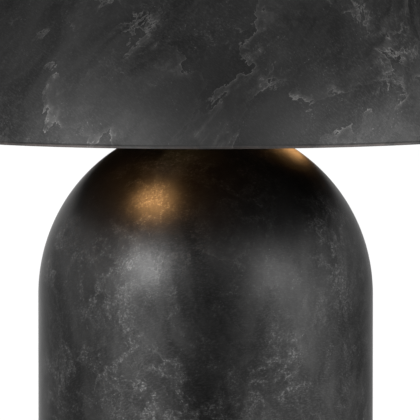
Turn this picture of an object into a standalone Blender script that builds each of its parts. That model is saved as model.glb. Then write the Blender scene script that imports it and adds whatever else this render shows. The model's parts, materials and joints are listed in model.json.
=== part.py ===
"""Table lamp: a domed metal body under a wide dome shade, with two horizontal lampholders inside the shade.

Metres, +Z up. The origin is the centre of the footprint, and the front faces -Y.
"""

import math

import bmesh
import bpy
from mathutils import Matrix, Vector

# Driving dimensions
GAP = 0.0003  # between pieces that touch
BODY_R = 0.115
BODY_TOP = 0.300
DOME_RISE = 0.118
BODY_WALL = 0.0018
SHADE_R = 0.210
SHADE_RISE = 0.2075  # of the arc above the rolled rim
SHADE_WALL = 0.0015
SHADE_LIP = 0.0026  # height of the rolled rim
RIM_BELOW_DOME = 0.0067  # how far the shade's rim hangs below the top of the body
CLUSTER_ABOVE_RIM = 0.0425
CLUSTER_TURN = math.radians(38.0)  # from the front towards the left, where lampholder a points

# Foot and ballast
PAD_HEIGHT = 0.003
PAD_R = 0.106
PAD_HOLE_R = 0.022
PLATE_HEIGHT = 0.003
PLATE_R = 0.108
PLATE_RAISE = 0.005  # of the plate's middle, which makes room for the nut under it
PLATE_RAISED_R = 0.019
PLATE_SLOPE = 0.003
HEM_HOLE_R = 0.099  # inside the body's turned-in lower edge
BALLAST_R = 0.097
BALLAST_HOLE_R = 0.0235
BALLAST_HEIGHT = 0.0164
BALLAST_WASHER_R = 0.034
BALLAST_WASHER_HEIGHT = 0.002

# Threaded pipe, rod and their nuts
PIPE_R = 0.00475
PIPE_BORE_R = 0.0036
PIPE_HOLE_R = 0.0052
PIPE_FOOT = 0.0012
PIPE_ABOVE_CLUSTER_FLOOR = 0.0080
ROD_R = 0.0040
ROD_HOLE_R = 0.0044
ROD_BELOW_COVER = 0.0076
ROD_INTO_FINIAL = 0.0100
NUT_CORNER_R = 0.0081
NUT_HEIGHT = 0.0040
WASHER_R = 0.0125
WASHER_HEIGHT = 0.0015
BODY_HOLE_R = 0.0056  # in the top of the dome and in the gasket on it

# Cord inlet, low at the back
INLET_Z = 0.042
INLET_BORE_R = 0.0037
INLET_TUBE_R = 0.0058
INLET_HOLE_R = 0.0062
INLET_TUBE_LENGTH = 0.0085
INLET_FLANGE_R = 0.0090
INLET_NUT_CORNER_R = 0.0087
INLET_NUT_HEIGHT = 0.0032
INLET_NUT_END = -0.0026

# Neck and light cluster
GASKET_R = 0.0145
GASKET_HEIGHT = 0.0009
CAP_R = 0.019
CAP_RECESS_R = 0.0155
CAP_HEIGHT = 0.0046
NECK_R = 0.0085
CLUSTER_R = 0.021
CLUSTER_HEIGHT = 0.036
CLUSTER_WALL = 0.0015
COVER_HEIGHT = 0.0018
COVER_SKIRT = 0.0066
COVER_SKIRT_WALL = 0.0014
SCREW_BELOW_COVER = 0.0036
SCREW_R = 0.00125
SCREW_HEAD_R = 0.0028
SCREW_HOLE_R = 0.0016
ARM_R = 0.0048
ARM_HOLE_R = 0.0052
ARM_BORE_R = 0.0035
ARM_NUT_CORNER_R = 0.0072
ARM_NUT_HEIGHT = 0.003

# Lampholders and bulbs, as distances from the lamp's axis
NIPPLE_START = 0.0135
NIPPLE_END = 0.0335
CAP_INNER_END = 0.0248
SHELL_R = 0.0169
SHELL_WALL = 0.0006
SHELL_START = 0.0365
SHELL_MOUTH = 0.0700
KNOB_AT = 0.0475
SWITCH_START = 0.0375
SWITCH_END = 0.0540
SLEEVE_WALL = 0.0008
SCREW_SHELL_WALL = 0.0007
SCREW_SHELL_END = 0.0675
TAB_R = 0.0045
STEM_R = 0.0020
STEM_HOLE_R = 0.0024
SHELL_SLOT_R = 0.0030
BULB_TIP = 0.0558
BULB_BASE_R = 0.0131
BULB_BASE_LENGTH = 0.0246
BULB_NECK_R = 0.0122
BULB_R = 0.0300
BULB_MIDDLE = 0.1330
BULB_WALL = 0.0010

# Seat and finial
SHADE_FLAT_R = 0.028
SEAT_R = 0.026
SEAT_HEIGHT = 0.003
SEAT_NUT_CORNER_R = 0.0070
SHADE_CAP_R = 0.029
SHADE_CAP_HEIGHT = 0.0026
ROD_COLLAR_R = 0.0075
ROD_COLLAR_HEIGHT = 0.006
FINIAL_R = 0.0105
FINIAL_FLANGE_R = 0.0090
FINIAL_GROOVE_R = 0.0066
FINIAL_HEIGHT = 0.022

# Facets around a turned piece
WIDE = 40
MEDIUM = 16
SMALL = 12
HEX = 12

RIM_Z = BODY_TOP - RIM_BELOW_DOME
CLUSTER_Z = RIM_Z + CLUSTER_ABOVE_RIM
CLUSTER_FLOOR = CLUSTER_Z - CLUSTER_HEIGHT / 2
COVER_Z = CLUSTER_Z + CLUSTER_HEIGHT / 2 + GAP
PLATE_TOP = PAD_HEIGHT + GAP + PLATE_HEIGHT

# Finish: colour, roughness and metallic value
FINISHES = {
    "patina": ((0.032, 0.031, 0.030), 0.42, 0.85),
    "dark_brass": ((0.16, 0.12, 0.07), 0.38, 1.0),
    "brass": ((0.72, 0.52, 0.24), 0.28, 1.0),
    "zinc": ((0.55, 0.56, 0.57), 0.35, 1.0),
    "steel": ((0.12, 0.12, 0.125), 0.45, 0.9),
    "iron": ((0.055, 0.053, 0.050), 0.75, 0.6),
    "felt": ((0.030, 0.030, 0.032), 0.95, 0.0),
    "fibre": ((0.34, 0.24, 0.15), 0.80, 0.0),
    "phenolic": ((0.030, 0.026, 0.024), 0.35, 0.0),
    "nylon": ((0.020, 0.020, 0.021), 0.45, 0.0),
    "opal_glass": ((0.93, 0.91, 0.86), 0.25, 0.0),
}


def clear_scene():
    for thing in list(bpy.data.objects):
        bpy.data.objects.remove(thing, do_unlink=True)


def give_material(piece, finish):
    colour, roughness, metallic = FINISHES[finish]
    made = bpy.data.materials.new(f"{piece.name}_{finish}")
    made.use_nodes = True
    shader = made.node_tree.nodes["Principled BSDF"]
    shader.inputs["Base Color"].default_value = (*colour, 1.0)
    shader.inputs["Roughness"].default_value = roughness
    shader.inputs["Metallic"].default_value = metallic
    made.diffuse_color = (*colour, 1.0)
    piece.data.materials.append(made)


def add_piece(name, bm, finish, parent=None, place=None):
    """Makes the object called name from a bmesh, in its parent's frame."""
    mesh = bpy.data.meshes.new(name)
    bm.to_mesh(mesh)
    bm.free()
    mesh.shade_smooth()
    mesh.set_sharp_from_angle(angle=math.radians(35.0))
    piece = bpy.data.objects.new(name, mesh)
    bpy.context.scene.collection.objects.link(piece)
    piece.parent = parent
    piece.matrix_basis = place or Matrix()
    give_material(piece, finish)
    return piece


def turned(outline, facets):
    """Turns (radius, height) points about Z: a solid if the outline starts on the axis, otherwise a ring."""
    bm = bmesh.new()
    points = [bm.verts.new((radius, 0.0, height)) for radius, height in outline]
    following = points[1:] + (points[:1] if outline[0][0] > 0.0 else [])
    edges = [bm.edges.new(pair) for pair in zip(points, following)]
    bmesh.ops.spin(
        bm,
        geom=points + edges,
        cent=(0.0, 0.0, 0.0),
        axis=(0.0, 0.0, 1.0),
        dvec=(0.0, 0.0, 0.0),
        angle=math.tau,
        steps=facets,
        use_merge=True,
    )
    bmesh.ops.remove_doubles(bm, verts=bm.verts, dist=1e-6)
    bmesh.ops.recalc_face_normals(bm, faces=bm.faces)
    return bm


def tube_outline(inner, outer, low, high):
    return [(outer, low), (outer, high), (inner, high), (inner, low)]


def solid_outline(radius, low, high):
    return [(0.0, low), (radius, low), (radius, high), (0.0, high)]


def arc(centre, half_width, half_height, start, end, steps):
    """Points of an elliptical arc from angle start to end, both in radians above the horizontal."""
    angles = [start + (end - start) * i / steps for i in range(steps + 1)]
    return [(centre[0] + half_width * math.cos(a), centre[1] + half_height * math.sin(a)) for a in angles]


def hexagon_outside(bm, bore):
    """Pulls everything wider than the bore from a circle in to a hexagon with the same corners."""
    flat = math.cos(math.pi / 6)
    for vert in bm.verts:
        if math.hypot(vert.co.x, vert.co.y) > bore * 1.01:
            from_flat = math.atan2(vert.co.y, vert.co.x) % (math.pi / 3) - math.pi / 6
            vert.co.xy *= flat / math.cos(from_flat)


def add_tube(name, inner, outer, low, high, facets, finish, parent=None, place=None):
    return add_piece(name, turned(tube_outline(inner, outer, low, high), facets), finish, parent, place)


def add_nut(name, bore, corner, low, high, finish, parent=None, place=None):
    bm = turned(tube_outline(bore, corner, low, high), HEX)
    hexagon_outside(bm, bore)
    return add_piece(name, bm, finish, parent, place)


def drill(piece, radius, start, end):
    """Cuts a round hole through a piece, from start to end in the frame of the piece."""
    start = Vector(start)
    along = Vector(end) - start
    bm = turned(solid_outline(radius, 0.0, along.length), SMALL)
    mesh = bpy.data.meshes.new(f"{piece.name}_drill")
    bm.to_mesh(mesh)
    bm.free()
    cutter = bpy.data.objects.new(f"{piece.name}_drill", mesh)
    bpy.context.scene.collection.objects.link(cutter)
    cutter.parent = piece.parent
    aim = along.to_track_quat("Z", "Y").to_matrix().to_4x4()
    cutter.matrix_basis = piece.matrix_basis @ Matrix.Translation(start) @ aim
    cutter.hide_render = True
    cutter.display_type = "WIRE"
    cut = piece.modifiers.new("hole", "BOOLEAN")
    cut.operation = "DIFFERENCE"
    cut.object = cutter


def dome_angle(half_width, radius):
    """The angle at which an elliptical dome has narrowed to a radius."""
    return math.acos(radius / half_width)


def make_foot():
    add_tube("rest_pad", PAD_HOLE_R, PAD_R, 0.0, PAD_HEIGHT, WIDE, "felt")
    low = PAD_HEIGHT + GAP
    plate = [
        (PLATE_R, low),
        (PLATE_R, PLATE_TOP),
        (PLATE_RAISED_R + PLATE_SLOPE, PLATE_TOP),
        (PLATE_RAISED_R, PLATE_TOP + PLATE_RAISE),
        (PIPE_HOLE_R, PLATE_TOP + PLATE_RAISE),
        (PIPE_HOLE_R, low + PLATE_RAISE),
        (PLATE_RAISED_R - 0.0025, low + PLATE_RAISE),
        (PLATE_RAISED_R + 0.0005, low),
    ]
    add_piece("base_plate", turned(plate, WIDE), "steel")
    washer_top = low + PLATE_RAISE - GAP
    washer_low = washer_top - WASHER_HEIGHT
    add_tube("bottom_washer", PIPE_HOLE_R, WASHER_R, washer_low, washer_top, SMALL, "zinc")
    nut_top = washer_low - GAP
    add_nut("bottom_nut", PIPE_HOLE_R, NUT_CORNER_R, nut_top - NUT_HEIGHT, nut_top, "zinc")
    ballast_low = PLATE_TOP + GAP
    ballast_top = ballast_low + BALLAST_HEIGHT
    add_tube("ballast_ring", BALLAST_HOLE_R, BALLAST_R, ballast_low, ballast_top, WIDE, "iron")
    washer_low = ballast_top + GAP
    washer_top = washer_low + BALLAST_WASHER_HEIGHT
    add_tube("ballast_washer", PIPE_HOLE_R, BALLAST_WASHER_R, washer_low, washer_top, MEDIUM, "zinc")
    nut_low = washer_top + GAP
    add_nut("ballast_nut", PIPE_HOLE_R, NUT_CORNER_R, nut_low, nut_low + NUT_HEIGHT, "zinc")


def make_body():
    low = PLATE_TOP + GAP
    spring = BODY_TOP - DOME_RISE
    inner_r = BODY_R - BODY_WALL
    inner_rise = DOME_RISE - BODY_WALL
    outside = arc((0.0, spring), BODY_R, DOME_RISE, 0.0, dome_angle(BODY_R, BODY_HOLE_R), 8)
    inside = arc((0.0, spring), inner_r, inner_rise, dome_angle(inner_r, BODY_HOLE_R), 0.0, 8)
    hem = [
        (inner_r, low + BODY_WALL),
        (HEM_HOLE_R, low + BODY_WALL),
        (HEM_HOLE_R, low),
        (BODY_R - BODY_WALL, low),
        (BODY_R, low + BODY_WALL),
    ]
    shell = add_piece("body_shell", turned(outside + inside + hem, WIDE), "patina")
    drill(shell, INLET_HOLE_R, (0.0, BODY_R - 0.02, INLET_Z), (0.0, BODY_R + 0.02, INLET_Z))
    pipe_top = CLUSTER_FLOOR + PIPE_ABOVE_CLUSTER_FLOOR
    add_tube("lamp_pipe", PIPE_BORE_R, PIPE_R, PIPE_FOOT, pipe_top, SMALL, "zinc")


def make_inlet():
    """The bushing's own heights run outwards from the body's surface."""
    place = Matrix.Translation((0.0, BODY_R, INLET_Z)) @ Matrix.Rotation(-math.pi / 2, 4, "X")
    bushing = [
        (INLET_BORE_R, -INLET_TUBE_LENGTH),
        (INLET_TUBE_R, -INLET_TUBE_LENGTH),
        (INLET_TUBE_R, GAP),
        (INLET_FLANGE_R, GAP),
        (INLET_FLANGE_R, 0.0018),
        (0.0068, 0.0026),
        (0.0060, 0.0044),
        (INLET_BORE_R + 0.0006, 0.0044),
        (INLET_BORE_R, 0.0034),
    ]
    add_piece("inlet_bushing", turned(bushing, SMALL), "nylon", place=place)
    nut_start = INLET_NUT_END - INLET_NUT_HEIGHT
    nut_bore = INLET_TUBE_R + GAP
    add_nut("inlet_locknut", nut_bore, INLET_NUT_CORNER_R, nut_start, INLET_NUT_END, "nylon", place=place)


def make_neck():
    gasket_low = BODY_TOP + GAP
    gasket_top = gasket_low + GASKET_HEIGHT
    add_tube("dome_gasket", BODY_HOLE_R, GASKET_R, gasket_low, gasket_top, MEDIUM, "fibre")
    cap_top = BODY_TOP + CAP_HEIGHT
    cap = [
        (PIPE_HOLE_R, gasket_top + GAP),
        (CAP_RECESS_R, gasket_top + GAP),
        (CAP_RECESS_R, BODY_TOP - 0.0005),
        (CAP_R, BODY_TOP - 0.0005),
        (CAP_R, BODY_TOP + 0.0008),
        (CAP_R - 0.0025, BODY_TOP + 0.0026),
        (CAP_R - 0.0075, cap_top),
        (PIPE_HOLE_R, cap_top),
    ]
    add_piece("neck_cap", turned(cap, MEDIUM), "dark_brass")
    add_tube("neck_tube", PIPE_HOLE_R, NECK_R, cap_top + GAP, CLUSTER_FLOOR - GAP, SMALL, "dark_brass")


def make_cluster():
    inner_r = CLUSTER_R - CLUSTER_WALL
    floor_top = CLUSTER_FLOOR + CLUSTER_WALL
    top = CLUSTER_Z + CLUSTER_HEIGHT / 2
    can = [
        (PIPE_HOLE_R, CLUSTER_FLOOR),
        (CLUSTER_R - 0.0015, CLUSTER_FLOOR),
        (CLUSTER_R, CLUSTER_FLOOR + 0.0015),
        (CLUSTER_R, top),
        (inner_r, top),
        (inner_r, floor_top),
        (PIPE_HOLE_R, floor_top),
    ]
    body = add_piece("cluster_body", turned(can, MEDIUM), "dark_brass")
    skirt_r = inner_r - GAP
    screw_z = COVER_Z - SCREW_BELOW_COVER
    lid_top = COVER_Z + COVER_HEIGHT
    lid = [
        (ROD_HOLE_R, COVER_Z),
        (skirt_r - COVER_SKIRT_WALL, COVER_Z),
        (skirt_r - COVER_SKIRT_WALL, COVER_Z - COVER_SKIRT),
        (skirt_r, COVER_Z - COVER_SKIRT),
        (skirt_r, COVER_Z),
        (CLUSTER_R, COVER_Z),
        (CLUSTER_R, lid_top - 0.0010),
        (CLUSTER_R - 0.0010, lid_top),
        (ROD_HOLE_R, lid_top),
    ]
    cover = add_piece("cluster_cover", turned(lid, MEDIUM), "dark_brass")
    outward = Vector((-math.sin(CLUSTER_TURN), -math.cos(CLUSTER_TURN), 0.0))
    sideways = Vector((0.0, 0.0, 1.0)).cross(outward)
    centre = Vector((0.0, 0.0, CLUSTER_Z))
    at_screw = Vector((0.0, 0.0, screw_z))
    inside, outside = CLUSTER_R - 0.009, CLUSTER_R + 0.009
    head_low = CLUSTER_R + 0.0004
    head_high = head_low + 0.0017
    screw = [
        (0.0, CLUSTER_R - 0.0058),
        (SCREW_R, CLUSTER_R - 0.0058),
        (SCREW_R, head_low),
        (SCREW_HEAD_R, head_low),
        (SCREW_HEAD_R - 0.0006, head_high),
        (0.0, head_high),
    ]
    for sign, side in ((1.0, "a"), (-1.0, "b")):
        out, across = sign * outward, sign * sideways
        drill(body, ARM_HOLE_R, centre + out * inside, centre + out * outside)
        for piece in (body, cover):
            drill(piece, SCREW_HOLE_R, at_screw + across * inside, at_screw + across * outside)
        place = Matrix.Translation(at_screw) @ across.to_track_quat("Z", "Y").to_matrix().to_4x4()
        add_piece(f"cover_screw_{side}", turned(screw, HEX), "brass", place=place)
    nut_low = floor_top + GAP
    add_nut("pipe_locknut", PIPE_HOLE_R, NUT_CORNER_R, nut_low, nut_low + NUT_HEIGHT, "zinc")


def make_arm(side, holder):
    """Nipple, nut and collar of one arm, in the lampholder's frame."""
    add_tube(f"arm_nipple_{side}", ARM_BORE_R, ARM_R, NIPPLE_START, NIPPLE_END, SMALL, "brass", holder)
    nut_low = NIPPLE_START + 0.001
    nut_high = nut_low + ARM_NUT_HEIGHT
    add_nut(f"arm_nut_{side}", ARM_HOLE_R, ARM_NUT_CORNER_R, nut_low, nut_high, "brass", holder)
    collar_end = CAP_INNER_END - GAP
    add_tube(f"arm_collar_{side}", ARM_HOLE_R, NECK_R, CLUSTER_R + GAP, collar_end, SMALL, "brass", holder)


def make_lampholder(side, holder):
    cap = [
        (ARM_HOLE_R, CAP_INNER_END),
        (0.0095, CAP_INNER_END),
        (0.0145, 0.0266),
        (0.0172, 0.0300),
        (0.0180, 0.0340),
        (0.0180, 0.0420),
        (0.0172, 0.0420),
        (0.0172, 0.0342),
        (0.0165, 0.0306),
        (0.0141, 0.0274),
        (0.0093, 0.0256),
        (ARM_HOLE_R, 0.0256),
    ]
    add_piece(f"socket_cap_{side}", turned(cap, MEDIUM), "brass", holder)
    inner_r = SHELL_R - SHELL_WALL
    shell = [
        (inner_r, SHELL_START),
        (SHELL_R, SHELL_START),
        (SHELL_R, SHELL_MOUTH - 0.0020),
        (SHELL_R + 0.0008, SHELL_MOUTH - 0.0010),
        (SHELL_R + 0.0008, SHELL_MOUTH),
        (inner_r + 0.0005, SHELL_MOUTH),
        (inner_r, SHELL_MOUTH - 0.0020),
    ]
    shell_piece = add_piece(f"socket_shell_{side}", turned(shell, MEDIUM), "brass", holder)
    sleeve_r = inner_r - GAP
    sleeve = tube_outline(sleeve_r - SLEEVE_WALL, sleeve_r, SHELL_START, SHELL_MOUTH - 0.0022)
    sleeve_piece = add_piece(f"socket_sleeve_{side}", turned(sleeve, MEDIUM), "fibre", holder)
    switch_r = sleeve_r - SLEEVE_WALL - GAP
    switch = turned(solid_outline(switch_r, SWITCH_START, SWITCH_END), MEDIUM)
    switch_piece = add_piece(f"switch_body_{side}", switch, "phenolic", holder)
    holes = ((shell_piece, SHELL_SLOT_R), (sleeve_piece, SHELL_SLOT_R), (switch_piece, STEM_HOLE_R))
    for piece, radius in holes:
        drill(piece, radius, (0.0050, 0.0, KNOB_AT), (0.0250, 0.0, KNOB_AT))
    shell_low = SWITCH_END + GAP
    screw_r = switch_r - GAP
    screw = tube_outline(screw_r - SCREW_SHELL_WALL, screw_r, shell_low, SCREW_SHELL_END)
    add_piece(f"screw_shell_{side}", turned(screw, MEDIUM), "brass", holder)
    tab = turned(solid_outline(TAB_R, shell_low, BULB_TIP - GAP), HEX)
    add_piece(f"contact_tab_{side}", tab, "brass", holder)


def make_switch(side, holder):
    """Spindle and knob, turning about an axis across the lampholder."""
    place = Matrix.Translation((0.0, 0.0, KNOB_AT)) @ Matrix.Rotation(math.pi / 2, 4, "Y")
    stem = turned(solid_outline(STEM_R, 0.0053, 0.0258), HEX)
    add_piece(f"switch_stem_{side}", stem, "brass", holder, place)
    knob = [
        (0.0, 0.0261),
        (STEM_HOLE_R, 0.0261),
        (STEM_HOLE_R, 0.0193),
        (0.0050, 0.0193),
        (0.0055, 0.0205),
        (0.0046, 0.0310),
        (0.0034, 0.0322),
        (0.0, 0.0322),
    ]
    add_piece(f"switch_knob_{side}", turned(knob, SMALL), "phenolic", holder, place)


def make_bulb(side, holder):
    contact = turned(solid_outline(0.0042, BULB_TIP, BULB_TIP + 0.0016), HEX)
    add_piece(f"bulb_contact_{side}", contact, "zinc", holder)
    plug = turned(solid_outline(0.0098, BULB_TIP + 0.0019, BULB_TIP + 0.0048), SMALL)
    add_piece(f"bulb_insulator_{side}", plug, "phenolic", holder)
    base_end = BULB_TIP + BULB_BASE_LENGTH
    base = [
        (0.0101, BULB_TIP + 0.0024),
        (BULB_BASE_R - 0.0003, BULB_TIP + 0.0050),
        (BULB_BASE_R, BULB_TIP + 0.0060),
        (BULB_BASE_R, base_end),
        (BULB_NECK_R + GAP, base_end),
        (BULB_NECK_R + GAP, BULB_TIP + 0.0062),
        (0.0101, BULB_TIP + 0.0034),
    ]
    add_piece(f"bulb_base_{side}", turned(base, MEDIUM), "zinc", holder)
    shoulder = math.radians(-48.0)
    neck = [
        (BULB_NECK_R, base_end - 0.010),
        (BULB_NECK_R, base_end + 0.004),
        (BULB_NECK_R + 0.0018, base_end + 0.016),
    ]
    globe = arc((0.0, BULB_MIDDLE), BULB_R, BULB_R, shoulder, math.pi / 2, 5)[:-1]
    inner_r = BULB_R - BULB_WALL
    inner_globe = arc((0.0, BULB_MIDDLE), inner_r, inner_r, math.pi / 2, shoulder, 5)[1:]
    inner_neck = [(radius - BULB_WALL, height) for radius, height in reversed(neck)]
    top = [(0.0, BULB_MIDDLE + BULB_R)]
    inner_top = [(0.0, BULB_MIDDLE + inner_r)]
    # The wall starts on the axis outside the globe, runs down to the open neck and comes back inside.
    outline = top + globe[::-1] + neck[::-1] + inner_neck[::-1] + inner_globe[::-1] + inner_top
    add_piece(f"bulb_glass_{side}", turned(outline, MEDIUM), "opal_glass", holder)


def make_lampholders():
    for side, turn in (("a", CLUSTER_TURN), ("b", CLUSTER_TURN + math.pi)):
        holder = bpy.data.objects.new(f"lampholder_{side}", None)
        bpy.context.scene.collection.objects.link(holder)
        # +Z of the holder's frame points outwards, level, and its +X points sideways, level.
        facing = Matrix.Rotation(-turn, 4, "Z") @ Matrix.Rotation(math.pi / 2, 4, "X")
        holder.matrix_basis = Matrix.Translation((0.0, 0.0, CLUSTER_Z)) @ facing
        make_arm(side, holder)
        make_lampholder(side, holder)
        make_switch(side, holder)
        make_bulb(side, holder)


def make_shade():
    """The shade's heights run upwards from its rim. Returns the flat top's lower and upper height."""
    centre = (0.0, SHADE_LIP)
    bead_r = SHADE_LIP / 2
    inner_r = SHADE_R - SHADE_WALL
    flat = dome_angle(SHADE_R, SHADE_FLAT_R)
    outside = arc(centre, SHADE_R, SHADE_RISE, 0.0, flat, 8)
    inside = arc(centre, inner_r, SHADE_RISE - SHADE_WALL, flat, 0.0, 8)
    flat_top = outside[-1][1]
    flat_under = inside[0][1]
    hole = [(ROD_HOLE_R, flat_top), (ROD_HOLE_R, flat_under)]
    bead_centre = (SHADE_R - bead_r + 0.0002, bead_r)
    bead = arc(bead_centre, bead_r, bead_r, math.radians(-200.0), math.radians(20.0), 6)
    place = Matrix.Translation((0.0, 0.0, RIM_Z))
    add_piece("shade_shell", turned(outside + hole + inside + bead, WIDE), "patina", place=place)
    return RIM_Z + flat_under, RIM_Z + flat_top


def make_rod_and_finial(flat_under, flat_top):
    seat_top = flat_under - GAP
    seat_low = seat_top - SEAT_HEIGHT
    add_tube("shade_seat", ROD_HOLE_R, SEAT_R, seat_low, seat_top, MEDIUM, "brass")
    nut_top = seat_low - GAP
    add_nut("seat_nut", ROD_HOLE_R, SEAT_NUT_CORNER_R, nut_top - NUT_HEIGHT, nut_top, "brass")
    cap_low = flat_top + GAP
    cap_top = cap_low + SHADE_CAP_HEIGHT
    cap = [
        (ROD_HOLE_R, cap_low),
        (SHADE_CAP_R, cap_low),
        (SHADE_CAP_R - 0.0005, cap_low + 0.0010),
        (0.0150, cap_top),
        (ROD_HOLE_R, cap_top),
    ]
    add_piece("shade_cap", turned(cap, WIDE // 2), "patina")
    finial_low = cap_top + GAP
    bore_top = ROD_INTO_FINIAL + GAP * 2
    finial = [
        (0.0, bore_top),
        (ROD_HOLE_R, bore_top),
        (ROD_HOLE_R, 0.0),
        (FINIAL_FLANGE_R, 0.0),
        (FINIAL_FLANGE_R, 0.0016),
        (FINIAL_GROOVE_R, 0.0034),
        (FINIAL_GROOVE_R, 0.0052),
        (FINIAL_R, 0.0078),
        (FINIAL_R, 0.0160),
        (0.0088, 0.0202),
        (0.0045, FINIAL_HEIGHT - 0.0004),
        (0.0, FINIAL_HEIGHT),
    ]
    place = Matrix.Translation((0.0, 0.0, finial_low))
    add_piece("finial", turned(finial, MEDIUM), "patina", place=place)
    rod_top = finial_low + ROD_INTO_FINIAL
    rod = solid_outline(ROD_R, COVER_Z - ROD_BELOW_COVER, rod_top)
    add_piece("shade_rod", turned(rod, SMALL), "dark_brass")
    nut_high = COVER_Z - GAP
    add_nut("rod_locknut", ROD_HOLE_R, SEAT_NUT_CORNER_R, nut_high - NUT_HEIGHT, nut_high, "brass")
    collar_low = COVER_Z + COVER_HEIGHT + GAP
    collar_top = collar_low + ROD_COLLAR_HEIGHT
    collar = [
        (ROD_HOLE_R, collar_low),
        (ROD_COLLAR_R, collar_low),
        (ROD_COLLAR_R, collar_top - 0.0018),
        (ROD_COLLAR_R - 0.0013, collar_top),
        (ROD_HOLE_R, collar_top),
    ]
    add_piece("rod_collar", turned(collar, SMALL), "dark_brass")


def main():
    clear_scene()
    make_foot()
    make_body()
    make_inlet()
    make_neck()
    make_cluster()
    make_lampholders()
    flat_under, flat_top = make_shade()
    make_rod_and_finial(flat_under, flat_top)


main()
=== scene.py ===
"""Looks of the table lamp: blackened metal body and dome shade, two lit bulbs under it, in a pale studio."""

import json
import math

import bmesh
import bpy
from mathutils import Matrix, Vector

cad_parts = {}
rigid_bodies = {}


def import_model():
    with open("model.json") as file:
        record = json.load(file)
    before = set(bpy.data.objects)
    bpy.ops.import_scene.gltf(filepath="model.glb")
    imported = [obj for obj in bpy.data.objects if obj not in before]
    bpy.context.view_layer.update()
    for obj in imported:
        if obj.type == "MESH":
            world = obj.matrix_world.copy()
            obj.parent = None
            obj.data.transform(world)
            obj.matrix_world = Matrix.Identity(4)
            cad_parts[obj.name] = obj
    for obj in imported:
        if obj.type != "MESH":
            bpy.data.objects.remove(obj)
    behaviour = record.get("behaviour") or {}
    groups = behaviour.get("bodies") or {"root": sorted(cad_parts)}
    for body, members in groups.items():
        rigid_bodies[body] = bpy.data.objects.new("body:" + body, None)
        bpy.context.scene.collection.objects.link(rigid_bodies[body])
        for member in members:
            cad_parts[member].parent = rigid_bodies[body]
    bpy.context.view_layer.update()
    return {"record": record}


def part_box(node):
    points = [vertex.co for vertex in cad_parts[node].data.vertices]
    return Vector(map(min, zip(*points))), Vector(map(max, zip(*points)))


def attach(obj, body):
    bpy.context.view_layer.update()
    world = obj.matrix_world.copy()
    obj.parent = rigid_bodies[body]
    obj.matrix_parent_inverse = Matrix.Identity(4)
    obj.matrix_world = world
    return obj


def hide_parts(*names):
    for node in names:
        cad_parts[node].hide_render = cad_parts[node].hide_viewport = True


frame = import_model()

# Heights and radii read from the CAD model. The last joint lies on the axis of lampholder b.
BODY_LOW, BODY_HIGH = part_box("body_shell")
SHADE_LOW, SHADE_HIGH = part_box("shade_shell")
SHADE_CAP_LOW, SHADE_CAP_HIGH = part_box("shade_cap")
FINIAL_LOW, FINIAL_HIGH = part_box("finial")
SEAT_LOW, SEAT_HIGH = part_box("shade_seat")
ROD_LOW, ROD_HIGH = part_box("shade_rod")
BODY_R = BODY_HIGH.x
BODY_TOP = BODY_HIGH.z
RIM_Z = SHADE_LOW.z
CLUSTER_Z = frame["record"]["behaviour"]["joints"][-1]["pos_m"][2]

# Driving dimensions, in metres
GAP = 0.0003  # between pieces that touch
DOME_RISE = 0.118
BODY_WALL = 0.0018
BODY_HOLE_R = 0.0056  # in the top of the dome and in the gasket on it
HEM_HOLE_R = 0.099  # inside the body's turned-in lower edge
SHADE_R = 0.210
SHADE_WALL = 0.0015
SHADE_LIP = 0.0026  # height of the rolled rim
SHADE_FLAT_R = 0.028

# Foot and ballast
PAD_HOLE_R = 0.022
PLATE_R = 0.108
PLATE_HEIGHT = 0.003
PLATE_RAISE = 0.005
PLATE_RAISED_R = 0.019
PLATE_HOLLOW_R = 0.0165
PLATE_SLOPE = 0.003
BALLAST_HOLE_R = 0.0235
BALLAST_WASHER_R = 0.034
WASHER_R = 0.0125

# Threaded pipe, rod and their nuts
PIPE_R = 0.00475
PIPE_BORE_R = 0.0036
PIPE_HOLE_R = 0.0052
PIPE_THREAD_LENGTH = 0.008
PIPE_PITCH = 0.001
ROD_R = 0.0040
ROD_HOLE_R = 0.0044
ROD_PITCH = 0.0009
ROD_THREAD_BELOW_SEAT = 0.014
NUT_CORNER_R = 0.0081
ROD_NUT_CORNER_R = 0.0070

# Cord inlet, low at the back
INLET_Z = 0.042
INLET_BORE_R = 0.0037
INLET_TUBE_R = 0.0058
INLET_HOLE_R = 0.0062
INLET_TUBE_LENGTH = 0.0085
INLET_FLANGE_R = 0.0090
INLET_FLANGE_END = 0.0018
INLET_NOSE_R = 0.0060
INLET_NOSE_END = 0.0044
INLET_NUT_CORNER_R = 0.0087
INLET_NUT_HEIGHT = 0.0032
INLET_NUT_END = -0.0026

# Neck and light cluster
GASKET_R = 0.0145
GASKET_HEIGHT = 0.0009
CAP_R = 0.019
CAP_RECESS_R = 0.0155
CAP_CROWN_R = 0.0115
CAP_SKIRT = 0.0005
CAP_HEIGHT = 0.0046
NECK_R = 0.0085
CLUSTER_TURN = math.radians(38.0)  # from the front towards the left, where lampholder a points
CLUSTER_R = 0.021
CLUSTER_HEIGHT = 0.036
CLUSTER_WALL = 0.0015
CLUSTER_FLOOR = CLUSTER_Z - CLUSTER_HEIGHT / 2
COVER_Z = CLUSTER_Z + CLUSTER_HEIGHT / 2 + GAP
COVER_HEIGHT = 0.0018
COVER_SKIRT = 0.0066
COVER_SKIRT_WALL = 0.0014
SCREW_Z = COVER_Z - 0.0036
SCREW_R = 0.00125
SCREW_HEAD_R = 0.0028
SCREW_HOLE_R = 0.0016
SCREW_PITCH = 0.0007
ARM_R = 0.0048
ARM_BORE_R = 0.0035
ARM_HOLE_R = 0.0052
ARM_NUT_CORNER_R = 0.0072
ARM_NUT_HEIGHT = 0.003

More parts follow.
